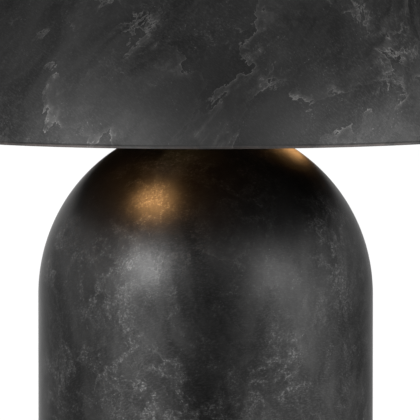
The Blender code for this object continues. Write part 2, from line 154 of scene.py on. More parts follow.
# Lampholders and bulbs, as distances from the lamp's axis, and their radii
NIPPLE_START = 0.0135
NIPPLE_END = 0.0335
CAP_INNER_END = 0.0248
HOLDER_CAP_R = 0.0180
HOLDER_CAP_WALL = 0.0008
HOLDER_CAP_END = 0.0420
SHELL_R = 0.0169
SHELL_WALL = 0.0006
SHELL_START = 0.0365
SHELL_MOUTH = 0.0700
SHELL_SLOT_R = 0.0030
SLEEVE_WALL = 0.0008
SWITCH_START = 0.0375
SWITCH_END = 0.0540
SWITCH_RECESS_R = 0.0062
TAB_R = 0.0045
SCREW_SHELL_WALL = 0.0003
SCREW_SHELL_WAVE = 0.00035
SCREW_SHELL_END = 0.0675
KNOB_AT = 0.0475
BULB_TIP = 0.0558
BULB_CONTACT_R = 0.0042
BULB_PLUG_R = 0.0098
BULB_BASE_R = 0.0131
BULB_BASE_LENGTH = 0.0246
BULB_PITCH = 0.00363
BULB_NECK_R = 0.0122
BULB_R = 0.0300
BULB_MIDDLE = 0.1330
BULB_WALL = 0.0010

# Switch spindle and knob, as distances from the lampholder's axis, and their radii
STEM_R = 0.0020
STEM_HOLE_R = 0.0024
STEM_START = 0.0053
STEM_END = 0.0258
KNOB_R = 0.0055
KNOB_TAPER = 0.0009
KNOB_START = 0.0193
KNOB_END = 0.0322
FLUTES = 18

# Rod collar and finial
ROD_COLLAR_R = 0.0075
ROD_COLLAR_TOP_R = 0.0062
SHADE_CAP_CROWN_R = 0.0150
FINIAL_FLANGE_R = 0.0090
FINIAL_GROOVE_R = 0.0066
FINIAL_BORE_END = 0.0106
KNURL_START = 0.0086
KNURL_END = 0.0152
KNURLS = 44

# Facets around a piece
FINE = 224
PLAIN = 96
SMALL = 64
TINY = 48

# Camera: a long lens, a little above the shade's rim
CAMERA_DISTANCE = 5.0
CAMERA_ABOVE = math.radians(3.13)
CAMERA_TILT = math.radians(86.255)
CAMERA_PAN = math.radians(-0.0346)
CAMERA_LENS = 624.4  # in millimetres

# Softboxes: how far they stand from the lamp's axis, and the height that they aim at
SOFTBOX_DISTANCE = 3.0
SOFTBOX_AIM = 0.2

# Brightness of the bulbs and of the room, and of the ceiling and walls that gloss shows. Each wall entry is
# degrees to the right of the camera and brightness: dark at the camera, bright on either side of it.
BULB_GLOW = 14.2
ROOM_GLOW = 1.40
CEILING_GLOW = 0.49
WALL_GLOW = (
    (-180, 1.80), (-150, 1.80), (-108, 1.00), (-76, 0.45), (-43, 2.50), (-14, 0.28), (6, 0.08), (24, 0.16),
    (56, 2.30), (82, 1.40), (107, 1.50), (138, 0.55), (180, 1.80),
)
WALL_GLOW_MOST = 2.50


# Mesh tools ---------------------------------------------------------------------------------------


def arc(centre, half_width, half_height, start, end, steps):
    """Points of an elliptical arc from angle start to end, both in radians above the horizontal."""
    across, up = centre
    angles = [start + (end - start) * i / steps for i in range(steps + 1)]
    return [(across + half_width * math.cos(a), up + half_height * math.sin(a)) for a in angles]


def curved(start, pull, end, steps):
    """Points from start to end, bent towards pull."""
    start, pull, end = Vector(start), Vector(pull), Vector(end)
    along = [i / steps for i in range(steps + 1)]
    return [tuple(start * (1 - t) ** 2 + pull * 2 * t * (1 - t) + end * t ** 2) for t in along]


def softened(outline, radius):
    """Rounds the sharper corners of an outline, which is closed unless it starts on the axis."""
    points = [Vector(point) for point in outline]
    closed = outline[0][0] > 0.0
    rounded = []
    for i, corner in enumerate(points):
        if not closed and i in (0, len(points) - 1):
            rounded.append(tuple(corner))
            continue
        back = points[i - 1] - corner
        ahead = points[(i + 1) % len(points)] - corner
        if math.pi - back.angle(ahead) < math.radians(9.0):
            rounded.append(tuple(corner))
            continue
        start = corner + back * min(radius / back.length, 0.42)
        end = corner + ahead * min(radius / ahead.length, 0.42)
        rounded += curved(start, corner, end, 4)
    return rounded


def tube_outline(inner, outer, low, high):
    return [(outer, low), (outer, high), (inner, high), (inner, low)]


def solid_outline(radius, low, high):
    return [(0.0, low), (radius, low), (radius, high), (0.0, high)]


def turned(outline, steps):
    """Turns (radius, height) points about Z: a solid if the outline starts on the axis, otherwise a ring."""
    bm = bmesh.new()
    points = [bm.verts.new((radius, 0.0, height)) for radius, height in outline]
    following = points[1:] + (points[:1] if outline[0][0] > 0.0 else [])
    edges = [bm.edges.new(pair) for pair in zip(points, following)]
    bmesh.ops.spin(
        bm,
        geom=points + edges,
        cent=(0.0, 0.0, 0.0),
        axis=(0.0, 0.0, 1.0),
        dvec=(0.0, 0.0, 0.0),
        angle=math.tau,
        steps=steps,
        use_merge=True,
    )
    bmesh.ops.remove_doubles(bm, verts=bm.verts, dist=1e-7)
    bmesh.ops.recalc_face_normals(bm, faces=bm.faces)
    return bm


def reshaped(bm, radius_at):
    """Moves each point of a turned piece to the radius that radius_at(angle, radius, height) gives."""
    for vert in bm.verts:
        radius = math.hypot(vert.co.x, vert.co.y)
        if radius > 1e-6:
            vert.co.xy *= radius_at(math.atan2(vert.co.y, vert.co.x), radius, vert.co.z) / radius
    return bm


def hex_nut(bore, corner, low, high):
    """Hexagon nut with its corners turned off at both ends."""
    edge = 0.0003
    chamfer_in, chamfer_up = corner * 0.14, corner * 0.07
    flat = corner * math.cos(math.pi / 6)
    outline = [
        (bore + edge, low),
        (corner - chamfer_in, low),
        (corner, low + chamfer_up),
        (corner, high - chamfer_up),
        (corner - chamfer_in, high),
        (bore + edge, high),
        (bore, high - edge),
        (bore, low + edge),
    ]

    def radius_at(angle, radius, height):
        if radius < bore * 1.15:
            return radius
        return min(radius, flat / math.cos(angle % (math.pi / 3) - math.pi / 6))

    return reshaped(turned(outline, PLAIN), radius_at)


def threaded_rows(radius, low, high, pitch):
    """Outline points along a threaded stretch, eight to a turn of the thread."""
    rows = 8
    count = max(rows, round((high - low) / pitch * rows))
    return [(radius, low + (high - low) * i / count) for i in range(count + 1)]


def thread(radius, depth, low, high, pitch):
    """Radius function of a thread cut into a cylinder, which runs out smoothly at both ends."""

    def radius_at(angle, at, height):
        if abs(at - radius) > 1e-5:
            return at
        fade = min(1.0, max(0.0, (height - low) / pitch), max(0.0, (high - height) / pitch))
        wave = 0.5 - 0.5 * math.cos(math.tau * height / pitch - angle)
        return radius - depth * wave * fade

    return radius_at


def along_z(start, direction):
    """Matrix that takes the origin to start and the Z axis to a direction."""
    return Matrix.Translation(start) @ direction.to_track_quat("Z", "Y").to_matrix().to_4x4()


def passing_object(bm, place):
    """An object that lasts only until a piece is drilled."""
    mesh = bpy.data.meshes.new("drilling")
    bm.to_mesh(mesh)
    solid = bpy.data.objects.new("drilling", mesh)
    bpy.context.scene.collection.objects.link(solid)
    solid.matrix_basis = place
    return solid


def drilled(bm, drills):
    """Cuts round holes through a piece. Each drill is (radius, start, end)."""
    piece = passing_object(bm, Matrix())
    solids = [piece]
    for radius, start, end in drills:
        run = Vector(end) - Vector(start)
        drill = turned(solid_outline(radius, 0.0, run.length), TINY)
        solids.append(passing_object(drill, along_z(start, run)))
        drill.free()
        cut = piece.modifiers.new("hole", "BOOLEAN")
        cut.operation = "DIFFERENCE"
        cut.solver = "EXACT"
        cut.object = solids[-1]
    bpy.context.view_layer.update()
    result = piece.evaluated_get(bpy.context.evaluated_depsgraph_get()).to_mesh()
    bm.clear()
    bm.from_mesh(result)
    for solid in solids:
        mesh = solid.data
        bpy.data.objects.remove(solid)
        bpy.data.meshes.remove(mesh)
    return bm


def add_piece(node, bm, slot, body, place=None):
    """Makes the fine piece that stands for a CAD node, in the finish of a material slot, riding on a body."""
    mesh = bpy.data.meshes.new(f"{node}_fine")
    bm.to_mesh(mesh)
    bm.free()
    mesh.shade_smooth()
    mesh.set_sharp_from_angle(angle=math.radians(35.0))
    mesh.materials.append(FINISHES[slot])
    piece = bpy.data.objects.new(f"{node}_fine", mesh)
    bpy.context.scene.collection.objects.link(piece)
    piece.matrix_basis = place or Matrix()
    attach(piece, body)
    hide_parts(node)
    return piece


def add_turned(node, outline, slot, body, place=None, soft=0.0003, steps=PLAIN):
    """Makes a turned piece with its corners rounded."""
    return add_piece(node, turned(softened(outline, soft), steps), slot, body, place)


def add_nut(node, bore, corner, slot):
    """Makes a nut of the stand between the two heights of its CAD node."""
    low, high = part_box(node)
    return add_piece(node, hex_nut(bore, corner, low.z, high.z), slot, "stand")


# Materials ----------------------------------------------------------------------------------------


class Nodes:
    """Short ways to add and link nodes in a new material's node tree, or in the tree that is given."""

    def __init__(self, name, tree=None):
        self.tree = tree
        if tree is None:
            self.material = bpy.data.materials.new(name)
            self.material.use_nodes = True
            self.tree = self.material.node_tree
            self.shader = self.tree.nodes["Principled BSDF"]
        self.where = self.add("ShaderNodeTexCoord").outputs["Object"]

    def add(self, kind, settings=None, **inputs):
        """Adds a node. An input is given by its name, or as i and its number."""
        node = self.tree.nodes.new(kind)
        for name, value in (settings or {}).items():
            setattr(node, name, value)
        for name, value in inputs.items():
            self.feed(node.inputs[int(name[1:]) if name[1:].isdigit() else name], value)
        return node

    def feed(self, socket, value):
        if isinstance(value, bpy.types.NodeSocket):
            self.tree.links.new(value, socket)
        else:
            socket.default_value = value

    def finish(self, **inputs):
        """Sets the Principled shader's sockets, named with _ for each space."""
        for name, value in inputs.items():
            self.feed(self.shader.inputs[name.replace("_", " ")], value)
        return self.material

    def math(self, operation, a, b):
        return self.add("ShaderNodeMath", {"operation": operation}, i0=a, i1=b).outputs[0]

    def moved(self, offset=(0.0, 0.0, 0.0), scale=(1.0, 1.0, 1.0), turn=(0.0, 0.0, 0.0)):
        """The place on the piece, scaled, turned and shifted."""
        mapping = self.add(
            "ShaderNodeMapping", Vector=self.where, Location=offset, Rotation=turn, Scale=scale
        )
        return mapping.outputs["Vector"]

    def noise(self, scale, detail, roughness, distortion=0.0, where=None):
        return self.add(
            "ShaderNodeTexNoise",
            Vector=where or self.where,
            Scale=scale,
            Detail=detail,
            Roughness=roughness,
            Distortion=distortion,
        ).outputs["Fac"]

    def ramp(self, value, low, high, start=0.0, end=1.0):
        """Maps low..high to start..end, smoothly and clamped."""
        node = self.add("ShaderNodeMapRange", {"interpolation_type": "SMOOTHSTEP"}, Value=value)
        for name, number in (("From Min", low), ("From Max", high), ("To Min", start), ("To Max", end)):
            node.inputs[name].default_value = number
        return node.outputs["Result"]

    def profile(self, value, *stops):
        """Maps value through (position, brightness) stops."""
        node = self.add("ShaderNodeValToRGB", Fac=value)
        ramp = node.color_ramp
        while len(ramp.elements) < len(stops):
            ramp.elements.new(0.5)
        for element, (position, brightness) in zip(ramp.elements, stops):
            element.position = position
            element.color = grey(brightness)
        return node.outputs["Color"]

    def mix(self, factor, a, b):
        return self.add("ShaderNodeMix", {"data_type": "RGBA"}, i0=factor, i6=a, i7=b).outputs[2]

    def bump(self, height, strength, distance):
        bump = self.add("ShaderNodeBump", Height=height, Strength=strength, Distance=distance)
        return bump.outputs["Normal"]


def grey(value, warmth=0.0):
    """An opaque grey. Warmth moves it from blue towards red."""
    return (value * (1.0 + warmth), value, value * (1.0 - warmth), 1.0)


def patina(name, offset, turn, rough, worn, torn, rim_for_painted_sheen=None):
    """Blackened metal under satin wax, with drifting clouds.

    Worn is how much of it is rubbed through to pale grains along branching creases. Torn is how strongly
    the edges of its flakes catch the light. The last argument, when given, is the height of a lower edge:
    towards it the colour is painted lighter as a painted sheen, and a paler band on the rolled rim above it
    is a painted highlight of the bead, broken up like rubbed metal.
    """
    n = Nodes(name)
    height = n.add("ShaderNodeSeparateXYZ", i0=n.where).outputs["Z"]
    n.where = n.moved(offset, turn=turn)
    drift = n.moved(scale=(1.0, 1.0, 0.45), turn=(0.5, 0.7, 0.0))
    clouds = n.noise(11.0, 5.0, 0.58, 0.6, drift)
    wisps = n.noise(34.0, 6.0, 0.62, 0.9, drift)
    mottle = n.noise(46.0, 6.0, 0.64, 0.4)
    streaks = n.noise(420.0, 4.0, 0.70, 0.0, n.moved(scale=(1.0, 1.0, 2.6)))
    grains = n.noise(560.0, 3.0, 0.72)
    here = n.ramp(n.noise(15.0, 3.0, 0.5, 0.3, n.moved((0.3, 0.6, 0.2))), 0.47, 0.62)
    there = n.ramp(n.noise(31.0, 3.0, 0.5, 0.3, n.moved((0.6, 0.3, 0.8))), 0.50, 0.62)

    creases = n.profile(
        n.noise(23.0, 8.0, 0.66, 0.3, n.moved((0.4, 0.5, 0.9))),
        (0.462, 0.0), (0.490, 0.70), (0.500, 1.0), (0.510, 0.70), (0.538, 0.0),
    )
    creases = n.math("MULTIPLY", creases, n.math("ADD", n.math("MULTIPLY", here, 0.85), 0.15))
    often = n.math("ADD", n.math("MULTIPLY", here, 0.5), 0.42)
    blots = n.math("MULTIPLY", n.ramp(mottle, 0.50, 0.68), often)
    rubbed = n.math("MAXIMUM", creases, blots)
    pitting = n.math("MULTIPLY", n.ramp(grains, 0.46, 0.64), n.ramp(streaks, 0.36, 0.58))
    wear = n.math("MULTIPLY", n.math("MULTIPLY", rubbed, n.math("ADD", pitting, 0.18)), worn)

    flakes = n.profile(
        n.noise(19.0, 7.0, 0.62, 0.5, n.moved((0.7, 0.2, 0.4), (1.0, 1.0, 0.55))),
        (0.500, 0.0), (0.5030, 1.0), (0.511, 0.30), (0.55, 0.08), (0.64, 0.0),
    )
    chips = n.profile(
        n.noise(41.0, 6.0, 0.60, 1.0, n.moved((0.1, 0.8, 0.3))),
        (0.530, 0.0), (0.535, 1.0), (0.548, 0.30), (0.60, 0.0),
    )
    edges = n.math("MULTIPLY", flakes, n.math("ADD", n.math("MULTIPLY", there, 0.85), 0.12))
    edges = n.math("MAXIMUM", edges, n.math("MULTIPLY", chips, n.math("MULTIPLY", there, here)))
    edges = n.math("MULTIPLY", edges, torn)
    specks = n.math("MULTIPLY", n.ramp(n.noise(640.0, 2.0, 0.7), 0.62, 0.76), n.ramp(mottle, 0.44, 0.60))

    base = n.mix(n.ramp(clouds, 0.36, 0.64), grey(0.026), grey(0.054))
    base = n.mix(n.math("MULTIPLY", n.ramp(wisps, 0.42, 0.70), 0.40), base, grey(0.078, 0.01))
    base = n.mix(n.math("MULTIPLY", n.ramp(streaks, 0.46, 0.64), 0.26), base, grey(0.088))
    base = n.mix(wear, base, grey(0.20, 0.005))
    base = n.mix(edges, base, grey(0.30, 0.02))
    base = n.mix(n.math("MULTIPLY", specks, 0.40), base, grey(0.24))
    # Painted sheen: the colour is lightened towards the lower edge, up to 1.6 times at the edge and fading
    # out 40 mm above it. It stands in for the brighter reflection near the rim.
    if rim_for_painted_sheen is not None:
        adding = {"data_type": "RGBA", "blend_type": "ADD"}
        painted_sheen_colour = n.add("ShaderNodeMix", adding, i0=1.0, i6=base, i7=base).outputs[2]
        base = n.mix(n.ramp(height, rim_for_painted_sheen, rim_for_painted_sheen + 0.040, 0.60, 0.0), base, painted_sheen_colour)
        # Painted highlight of the rolled bead: a paler, reddish band on its lower half, broken up by the
        # mottle like rubbed metal.
        hem = n.ramp(height, rim_for_painted_sheen + 0.0008, rim_for_painted_sheen + SHADE_LIP, 0.45, 0.0)
        rubbed_and_highlight_colour = (0.19, 0.155, 0.142, 1.0)
        base = n.mix(n.math("MULTIPLY", hem, n.ramp(mottle, 0.36, 0.58)), base, rubbed_and_highlight_colour)
    roughness = n.math(
        "ADD", n.ramp(clouds, 0.3, 0.7, rough - 0.03, rough + 0.03), n.math("MULTIPLY", wear, 0.10)
    )
    raised = n.math("MULTIPLY", n.math("ADD", wear, edges), 0.5)
    relief = n.math("ADD", n.math("MULTIPLY", mottle, 0.5), raised)
    relief = n.math("ADD", relief, n.math("MULTIPLY", streaks, 0.85))
    return n.finish(
        Base_Color=base, Roughness=roughness, Metallic=1.0, Specular_Tint=grey(0.50),
        Normal=n.bump(relief, 0.24, 0.0003),
    )


def matt_black(name):
    """Thin matt black paint, slightly uneven where it was sprayed."""
    n = Nodes(name)
    spray = n.noise(300.0, 4.0, 0.6)
    cloud = n.noise(20.0, 4.0, 0.5)
    base = n.mix(n.ramp(cloud, 0.35, 0.65), grey(0.007), grey(0.013))
    return n.finish(
        Base_Color=base, Roughness=n.ramp(spray, 0.3, 0.7, 0.72, 0.86), Specular_IOR_Level=0.15,
        Normal=n.bump(spray, 0.25, 0.0002),
    )


def metal(name, light, dark, rough, grain=900.0, metallic=1.0, relief=0.12):
    """Turned or plated metal: fine rings of tool marks about the piece's axis, and handling stains."""
    n = Nodes(name)
    stains = n.noise(120.0, 5.0, 0.6, 0.5)
    rings = n.noise(grain, 2.0, 0.5, 0.0, n.moved(scale=(0.03, 0.03, 1.0)))
    fine = n.noise(1500.0, 3.0, 0.6)
    base = n.mix(n.ramp(stains, 0.38, 0.70), light, dark)
    base = n.mix(n.math("MULTIPLY", n.ramp(rings, 0.45, 0.75), 0.25), base, dark)
    worn_rough = n.ramp(stains, 0.35, 0.7, rough, rough + 0.14)
    roughness = n.math("ADD", worn_rough, n.math("MULTIPLY", rings, 0.08))
    height = n.math("ADD", n.math("MULTIPLY", rings, 0.6), n.math("MULTIPLY", fine, 0.4))
    return n.finish(
        Base_Color=base, Roughness=roughness, Metallic=metallic, Normal=n.bump(height, relief, 0.0002)
    )


def cast_iron(name):
    """Sand-cast iron with a coarse skin, grey where it is rubbed and rusty in the pits."""
    n = Nodes(name)
    skin = n.noise(420.0, 5.0, 0.65)
    rust = n.noise(45.0, 5.0, 0.6, 0.6)
    base = n.mix(n.ramp(skin, 0.35, 0.7), (0.030, 0.029, 0.028, 1.0), (0.085, 0.082, 0.078, 1.0))
    base = n.mix(n.math("MULTIPLY", n.ramp(rust, 0.52, 0.70), 0.6), base, (0.085, 0.038, 0.018, 1.0))
    return n.finish(
        Base_Color=base, Roughness=n.ramp(skin, 0.3, 0.7, 0.62, 0.85), Metallic=0.6,
        Normal=n.bump(skin, 0.7, 0.0006),
    )


def felt(name):
    """Pressed wool felt: matted fibres in two directions, with a soft nap."""
    n = Nodes(name)
    one = n.noise(900.0, 4.0, 0.6, 0.4, n.moved(scale=(1.0, 0.25, 1.0)))
    across = n.moved((0.2, 0.4, 0.0), (0.25, 1.0, 1.0), (0.0, 0.0, 0.7))
    other = n.noise(900.0, 4.0, 0.6, 0.4, across)
    fibres = n.math("MAXIMUM", one, other)
    clumps = n.noise(60.0, 3.0, 0.5)
    base = n.mix(n.ramp(fibres, 0.45, 0.75), (0.012, 0.012, 0.013, 1.0), (0.060, 0.060, 0.063, 1.0))
    base = n.mix(n.math("MULTIPLY", n.ramp(clumps, 0.4, 0.7), 0.35), base, (0.030, 0.030, 0.032, 1.0))
    return n.finish(
        Base_Color=base, Roughness=n.ramp(clumps, 0.3, 0.7, 0.88, 0.98), Sheen_Weight=0.4,
        Normal=n.bump(fibres, 0.8, 0.0008),
    )


def fibre(name):
    """Vulcanised fibre board: reddish brown with pressed flecks."""
    n = Nodes(name)
    flecks = n.noise(700.0, 4.0, 0.6, 0.0, n.moved(scale=(1.0, 1.0, 0.3)))
    tone = n.noise(80.0, 3.0, 0.5)
    base = n.mix(n.ramp(flecks, 0.35, 0.7), (0.24, 0.15, 0.085, 1.0), (0.42, 0.30, 0.19, 1.0))
    base = n.mix(n.math("MULTIPLY", n.ramp(tone, 0.4, 0.7), 0.3), base, (0.20, 0.12, 0.07, 1.0))
    return n.finish(
        Base_Color=base, Roughness=n.ramp(flecks, 0.3, 0.7, 0.66, 0.84),
        Normal=n.bump(flecks, 0.3, 0.0003),
    )


def moulded(name, colour, rough):
    """Moulded plastic: a faint orange-peel skin with a little dust and wear."""
    n = Nodes(name)
    skin = n.noise(800.0, 3.0, 0.5)
    wear = n.noise(150.0, 5.0, 0.6)
    worn = tuple(channel * 1.9 + 0.012 for channel in colour[:3]) + (1.0,)
    base = n.mix(n.math("MULTIPLY", n.ramp(wear, 0.5, 0.75), 0.6), colour, worn)
    return n.finish(
        Base_Color=base, Roughness=n.ramp(wear, 0.35, 0.7, rough, rough + 0.15),
        Normal=n.bump(skin, 0.12, 0.0002),
    )


def opal_glass(name):
    """Amber-white coated bulb glass, lit from inside: brightest round its middle, dim at both ends."""
    n = Nodes(name)
    coating = n.noise(90.0, 4.0, 0.55)
    base = n.mix(n.ramp(coating, 0.3, 0.7), (0.62, 0.48, 0.33, 1.0), (0.54, 0.40, 0.26, 1.0))
    glow = n.mix(n.ramp(coating, 0.3, 0.7), (1.0, 0.54, 0.20, 1.0), (1.0, 0.48, 0.16, 1.0))
    along = n.add("ShaderNodeSeparateXYZ", i0=n.where).outputs["Z"]
    dim, band = 0.02, 0.1 * BULB_R
    from_neck = n.ramp(along, BULB_MIDDLE - 1.2 * BULB_R, BULB_MIDDLE - band, dim, 1.0)
    to_crown = n.ramp(along, BULB_MIDDLE + band, BULB_MIDDLE + BULB_R, 1.0, dim)
    bright = n.math("MULTIPLY", from_neck, to_crown)
    return n.finish(
        Base_Color=base, Roughness=n.ramp(coating, 0.3, 0.7, 0.22, 0.32), Emission_Color=glow,
        Emission_Strength=n.math("MULTIPLY", bright, BULB_GLOW),
    )


FINISHES = {
    "patina": patina("body_patina", (0.012, -0.015, 0.0515), (0.3, 0.2, 0.1), 0.36, 0.68, 0.12),
    "dark_brass": metal("dark_brass", (0.17, 0.125, 0.072, 1.0), (0.075, 0.052, 0.030, 1.0), 0.34),
    "brass": metal("brass", (0.74, 0.54, 0.26, 1.0), (0.46, 0.31, 0.13, 1.0), 0.26),
    "zinc": metal("zinc", (0.60, 0.61, 0.62, 1.0), (0.40, 0.41, 0.42, 1.0), 0.30),
    "steel": metal("steel", (0.050, 0.050, 0.053, 1.0), (0.025, 0.025, 0.027, 1.0), 0.45, 300.0, 0.5, 0.3),
    "iron": cast_iron("iron"),
    "felt": felt("felt"),
    "fibre": fibre("fibre"),
    "phenolic": moulded("phenolic", (0.030, 0.026, 0.024, 1.0), 0.28),
    "nylon": moulded("nylon", (0.020, 0.020, 0.021, 1.0), 0.42),
    "opal_glass": opal_glass("opal_glass"),
}
# The shade's patina is painted lighter towards its rim, a painted sheen, with a painted highlight on the
# rolled bead.
SHADE_PATINA = patina("shade_patina", (0.31, 0.17, 0.05), (0.3, -0.7, 0.2), 0.40, 0.25, 0.62, RIM_Z)
SHADE_INSIDE = matt_black("shade_inside")


# Foot, ballast and body ---------------------------------------------------------------------------


def make_foot():
    pad_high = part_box("rest_pad")[1]
    pad = tube_outline(PAD_HOLE_R, pad_high.x, 0.0, pad_high.z)
    add_turned("rest_pad", pad, "felt", "stand", soft=0.0009, steps=FINE)
    low = pad_high.z + GAP
    top = low + PLATE_HEIGHT
    plate = [
        (PLATE_R, low),
        (PLATE_R, top),
        (PLATE_RAISED_R + PLATE_SLOPE, top),
        (PLATE_RAISED_R, top + PLATE_RAISE),
        (PIPE_HOLE_R, top + PLATE_RAISE),
        (PIPE_HOLE_R, low + PLATE_RAISE),
        (PLATE_HOLLOW_R, low + PLATE_RAISE),
        (PLATE_HOLLOW_R + PLATE_SLOPE, low),
    ]
    add_turned("base_plate", plate, "steel", "stand", soft=0.0008, steps=FINE)
    for node, radius in (("bottom_washer", WASHER_R), ("ballast_washer", BALLAST_WASHER_R)):
        washer_low, washer_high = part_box(node)
        outline = tube_outline(PIPE_HOLE_R, radius, washer_low.z, washer_high.z)
        add_turned(node, outline, "zinc", "stand", soft=0.0004)
    for node in ("bottom_nut", "ballast_nut", "pipe_locknut"):
        add_nut(node, PIPE_HOLE_R, NUT_CORNER_R, "zinc")
    ring_low, ring_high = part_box("ballast_ring")
    ring = tube_outline(BALLAST_HOLE_R, ring_high.x, ring_low.z, ring_high.z)
    add_turned("ballast_ring", ring, "iron", "stand", soft=0.0016, steps=FINE)
    make_pipe()


def make_pipe():
    pipe_low, pipe_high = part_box("lamp_pipe")
    edge = 0.0004
    thread_end = pipe_low.z + PIPE_THREAD_LENGTH
    pipe = [(PIPE_BORE_R, pipe_low.z), (PIPE_R - edge, pipe_low.z)]
    pipe += threaded_rows(PIPE_R, pipe_low.z + edge, thread_end, PIPE_PITCH)
    pipe += [(PIPE_R, pipe_high.z - edge), (PIPE_R - edge, pipe_high.z), (PIPE_BORE_R, pipe_high.z)]
    cut = thread(PIPE_R, 0.00045, pipe_low.z, thread_end, PIPE_PITCH)
    add_piece("lamp_pipe", reshaped(turned(pipe, SMALL), cut), "zinc", "stand")


def make_body():
    spring = BODY_TOP - DOME_RISE
    low = BODY_LOW.z
    inner_r, inner_rise = BODY_R - BODY_WALL, DOME_RISE - BODY_WALL
    outside = arc((0.0, spring), BODY_R, DOME_RISE, 0.0, math.acos(BODY_HOLE_R / BODY_R), 72)
    inside = arc((0.0, spring), inner_r, inner_rise, math.acos(BODY_HOLE_R / inner_r), 0.0, 48)
    wall = [(BODY_R, low + (spring - low) * i / 24) for i in range(1, 24)]
    foot = arc((inner_r, low + BODY_WALL), BODY_WALL, BODY_WALL, -math.pi / 2, 0.0, 6)
    hem = [(inner_r, low + BODY_WALL), (HEM_HOLE_R, low + BODY_WALL), (HEM_HOLE_R, low)]
    bm = turned(outside + inside + hem + foot + wall, FINE)
    reach = 0.02
    hole = (INLET_HOLE_R, (0.0, BODY_R - reach, INLET_Z), (0.0, BODY_R + reach, INLET_Z))
    add_piece("body_shell", drilled(bm, [hole]), "patina", "stand")


def make_inlet():
    place = Matrix.Translation((0.0, BODY_R, INLET_Z)) @ Matrix.Rotation(-math.pi / 2, 4, "X")
    start = -INLET_TUBE_LENGTH
    bushing = [(INLET_BORE_R, start), (INLET_TUBE_R, start)]
    bushing += threaded_rows(INLET_TUBE_R, start + 0.0005, GAP, PIPE_PITCH)[:-1]
    bushing += [(INLET_TUBE_R, GAP), (INLET_FLANGE_R, GAP), (INLET_FLANGE_R, INLET_FLANGE_END)]
    bushing += [(INLET_NOSE_R + 0.0008, INLET_FLANGE_END + 0.0008), (INLET_NOSE_R, INLET_NOSE_END)]
    bushing += [(INLET_BORE_R + 0.0006, INLET_NOSE_END), (INLET_BORE_R, INLET_NOSE_END - 0.0010)]
    cut = thread(INLET_TUBE_R, 0.0004, start, GAP, PIPE_PITCH)
    bm = reshaped(turned(softened(bushing, 0.0003), SMALL), cut)
    add_piece("inlet_bushing", bm, "nylon", "stand", place)
    nut_start = INLET_NUT_END - INLET_NUT_HEIGHT
    nut = hex_nut(INLET_TUBE_R + GAP, INLET_NUT_CORNER_R, nut_start, INLET_NUT_END)
    add_piece("inlet_locknut", nut, "nylon", "stand", place)


# Neck and cluster ---------------------------------------------------------------------------------


def make_neck():
    gasket_top = BODY_TOP + GAP + GASKET_HEIGHT
    gasket = tube_outline(BODY_HOLE_R, GASKET_R, BODY_TOP + GAP, gasket_top)
    add_turned("dome_gasket", gasket, "fibre", "stand")
    cap_top = BODY_TOP + CAP_HEIGHT
    cap = [
        (PIPE_HOLE_R, gasket_top + GAP),
        (CAP_RECESS_R, gasket_top + GAP),
        (CAP_RECESS_R, BODY_TOP - CAP_SKIRT),
        (CAP_R, BODY_TOP - CAP_SKIRT),
        (CAP_R, BODY_TOP + 0.0008),
        (CAP_R - 0.0025, BODY_TOP + 0.0026),
        (CAP_CROWN_R, cap_top),
        (PIPE_HOLE_R, cap_top),
    ]
    add_turned("neck_cap", cap, "dark_brass", "stand", soft=0.0007)
    tube = tube_outline(PIPE_HOLE_R, NECK_R, cap_top + GAP, CLUSTER_FLOOR - GAP)
    add_turned("neck_tube", tube, "dark_brass", "stand")


def make_cluster():
    outward = Vector((-math.sin(CLUSTER_TURN), -math.cos(CLUSTER_TURN), 0.0))
    sideways = Vector((0.0, 0.0, 1.0)).cross(outward)
    centre = Vector((0.0, 0.0, CLUSTER_Z))
    at_screw = Vector((0.0, 0.0, SCREW_Z))
    near, far = 0.012, 0.030
    arm_holes, screw_holes = [], []
    for sign, side in ((1.0, "a"), (-1.0, "b")):
        out, across = sign * outward, sign * sideways
        arm_holes.append((ARM_HOLE_R, centre + out * near, centre + out * far))
        screw_holes.append((SCREW_HOLE_R, at_screw + across * near, at_screw + across * far))
        add_piece(f"cover_screw_{side}", screw_mesh(), "brass", "stand", along_z(at_screw, across))
    can = drilled(turned(softened(can_outline(), 0.0005), PLAIN), arm_holes + screw_holes)
    add_piece("cluster_body", can, "dark_brass", "stand")
    lid = drilled(turned(softened(lid_outline(), 0.0004), PLAIN), screw_holes)
    add_piece("cluster_cover", lid, "dark_brass", "stand")


def can_outline():
    inner_r = CLUSTER_R - CLUSTER_WALL
    floor_top = CLUSTER_FLOOR + CLUSTER_WALL
    top = CLUSTER_Z + CLUSTER_HEIGHT / 2
    edge = 0.0015
    return [
        (PIPE_HOLE_R, CLUSTER_FLOOR),
        (CLUSTER_R - edge, CLUSTER_FLOOR),
        (CLUSTER_R, CLUSTER_FLOOR + edge),
        (CLUSTER_R, top),
        (inner_r, top),
        (inner_r, floor_top),
        (PIPE_HOLE_R, floor_top),
    ]


def lid_outline():
    skirt_r = CLUSTER_R - CLUSTER_WALL - GAP
    skirt_end = COVER_Z - COVER_SKIRT
    top = COVER_Z + COVER_HEIGHT
    edge = 0.0010
    return [
        (ROD_HOLE_R, COVER_Z),
        (skirt_r - COVER_SKIRT_WALL, COVER_Z),
        (skirt_r - COVER_SKIRT_WALL, skirt_end),
        (skirt_r, skirt_end),
        (skirt_r, COVER_Z),
        (CLUSTER_R, COVER_Z),
        (CLUSTER_R, top - edge),
        (CLUSTER_R - edge, top),
        (ROD_HOLE_R, top),
    ]


